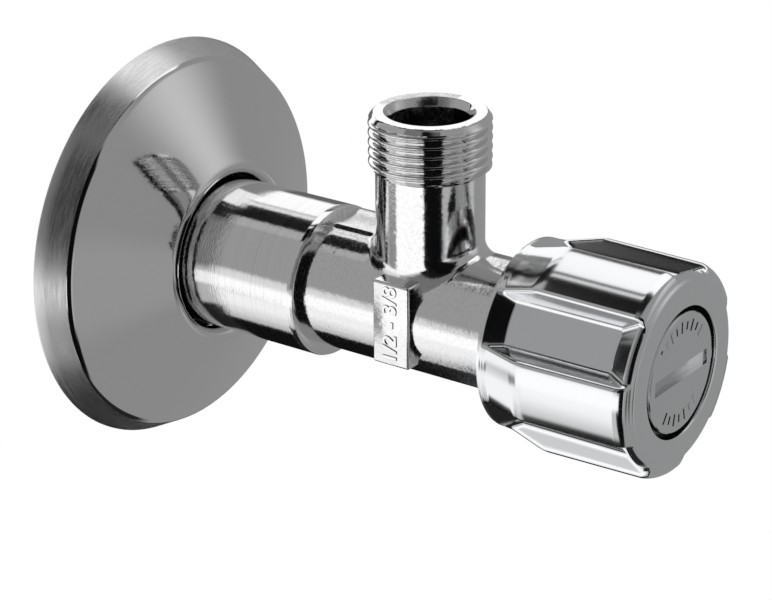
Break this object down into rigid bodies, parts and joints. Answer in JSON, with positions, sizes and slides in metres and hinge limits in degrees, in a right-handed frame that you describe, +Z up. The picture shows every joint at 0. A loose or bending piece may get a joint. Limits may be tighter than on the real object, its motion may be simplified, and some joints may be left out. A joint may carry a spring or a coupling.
{
  "type": "angle valve",
  "caption": "Corner regulating valve: wall inlet with conical rosette, threaded outlet upwards, lobed hand knob, and a filter drawn out behind a coin-slotted plug.",
  "frame": {"origin": "on the inlet axis, in the plane of the wall behind the rosette's rim", "axes": "+X out of the wall along the inlet axis to the knob, +Z up along the outlet branch, -Y the side with the plate boss"},
  "size_m": [0.0974, 0.059, 0.059],
  "materials": {
    "body_chrome": "polished chrome plate on a turned and ground casting",
    "rosette_chrome": "chrome plate on a pressed sheet, satin rim",
    "knob_chrome": "bright chrome plate on a moulding",
    "plug_chrome": "chrome plate, fine turned face",
    "brass": "turned, bare",
    "steel": "stamped or turned, bare",
    "mesh_steel": "fine woven wire",
    "rubber": "black moulded rubber",
    "seal_white": "white sealing plastic",
    "seal_fibre": "pressed red fibre",
    "filter_plastic": "white moulded plastic"
  },
  "bodies": {
    "valve": {"valve_body": "body_chrome", "inlet_seal_ring": "seal_white", "bonnet": "brass", "bonnet_seal_ring": "seal_fibre", "spindle_o_ring_inner": "rubber", "spindle_o_ring_outer": "rubber"},
    "rosette": {"wall_rosette": "rosette_chrome", "rosette_grip_ring": "rubber"},
    "hand_wheel": {"knob": "knob_chrome", "spindle": "brass", "thrust_washer": "steel", "spindle_circlip": "steel", "knob_retaining_ring": "steel"},
    "piston": {"piston": "brass", "piston_o_ring": "rubber", "seat_washer": "rubber", "washer_screw": "steel"},
    "cartridge": {"filter_frame": "filter_plastic", "filter_mesh": "mesh_steel", "filter_o_ring": "rubber"},
    "plug": {"filter_plug": "plug_chrome", "plug_o_ring": "rubber"}
  },
  "joints": [
    {"name": "knob_turn", "type": "hinge", "parent": "valve", "child": "hand_wheel", "pos_m": [0.07, 0, 0], "axis": [1, 0, 0], "range_deg": [0, 900]},
    {"name": "piston_travel", "type": "slide", "parent": "valve", "child": "piston", "axis": [1, 0, 0], "range_m": [0, 0.00375]},
    {"name": "rosette_slide", "type": "slide", "parent": "valve", "child": "rosette", "axis": [1, 0, 0], "range_m": [0, 0.018]},
    {"name": "filter_draw", "type": "slide", "parent": "hand_wheel", "child": "cartridge", "axis": [1, 0, 0], "range_m": [0, 0.002]},
    {"name": "filter_plug_turn", "type": "hinge", "parent": "cartridge", "child": "plug", "pos_m": [0.085, 0, 0], "axis": [1, 0, 0], "range_deg": [0, 720]}
  ],
  "couplings": [
    {"joint": "piston_travel", "follows": "knob_turn", "m_per_rad": 0.00023873},
    {"joint": "filter_draw", "follows": "filter_plug_turn", "m_per_rad": 0.00015915}
  ]
}
